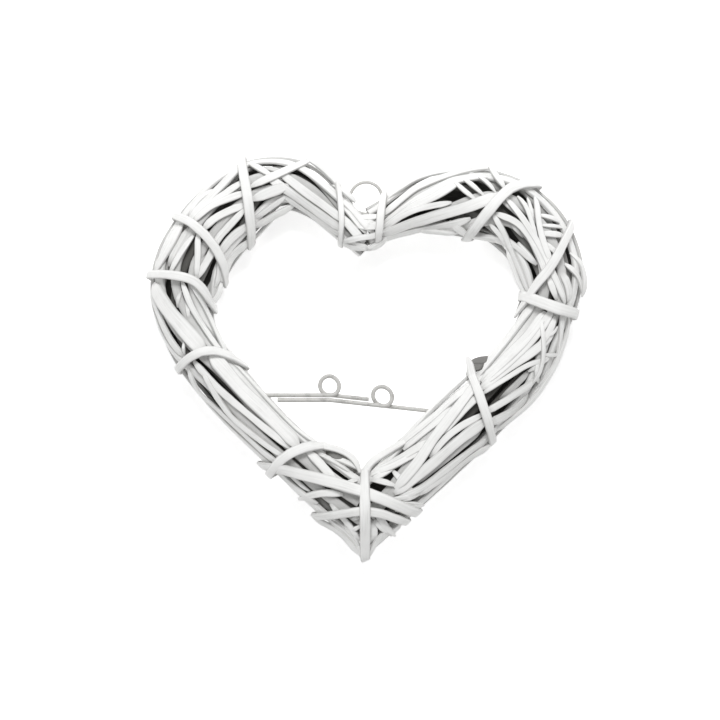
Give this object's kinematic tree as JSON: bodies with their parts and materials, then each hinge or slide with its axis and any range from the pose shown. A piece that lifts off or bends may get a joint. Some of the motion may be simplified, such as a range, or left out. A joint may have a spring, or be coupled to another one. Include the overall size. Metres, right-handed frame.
{
  "type": "wicker heart decoration",
  "caption": "Hollow heart wreath of split willow rods painted white, held by flat willow bindings, with a wire hanging ring and a wire bar across its opening.",
  "frame": {"origin": "under the middle of the outline seen from above, on the surface that the heart lies on", "axes": "+Z out of the heart's face, the heart lying on its back; +Y from the point to the lobes and the hanging ring; +X to the right as seen from the front"},
  "size_m": [0.2496, 0.23, 0.0377],
  "materials": {
    "painted_willow": "matt chalky white paint on split willow",
    "painted_wire": "thin satin white paint on steel wire"
  },
  "bodies": {
    "root": {"left_upper_rod_rim": "painted_willow", "left_upper_rod_edge": "painted_willow", "left_upper_rod_broad": "painted_willow", "left_upper_rod_middle": "painted_willow", "left_upper_rod_narrow": "painted_willow", "left_upper_rod_inner": "painted_willow", "left_upper_rod_inside": "painted_willow", "left_upper_rod_back": "painted_willow", "left_lower_rod_inner": "painted_willow", "left_lower_rod_middle": "painted_willow", "left_lower_rod_cross": "painted_willow", "left_lower_rod_outer": "painted_willow", "left_lower_rod_rim": "painted_willow", "left_lower_rod_back": "painted_willow", "left_lower_rod_inside": "painted_willow", "right_upper_rod_back": "painted_willow", "right_upper_rod_rim": "painted_willow", "right_upper_rod_edge": "painted_willow", "right_upper_rod_broad": "painted_willow", "right_upper_rod_middle": "painted_willow", "right_upper_rod_inner": "painted_willow", "right_upper_rod_inside": "painted_willow", "right_upper_rod_under": "painted_willow", "right_lower_rod_inner": "painted_willow", "right_lower_rod_middle": "painted_willow", "right_lower_rod_cross": "painted_willow", "right_lower_rod_outer": "painted_willow", "right_lower_rod_rim": "painted_willow", "right_lower_rod_back": "painted_willow", "right_lower_rod_inside": "painted_willow", "hanging_ring": "painted_wire", "crossbar_wire_left": "painted_wire", "crossbar_wire_right": "painted_wire", "cleft_left_binding": "painted_willow", "cleft_right_binding": "painted_willow", "lobe_left_binding": "painted_willow", "shoulder_left_binding": "painted_willow", "side_left_binding": "painted_willow", "flank_left_binding": "painted_willow", "foot_left_binding": "painted_willow", "lobe_right_binding": "painted_willow", "side_right_binding": "painted_willow", "waist_right_binding": "painted_willow", "flank_right_binding": "painted_willow", "point_upper_binding": "painted_willow", "point_lower_binding": "painted_willow", "point_end_binding": "painted_willow"}
  },
  "joints": []
}
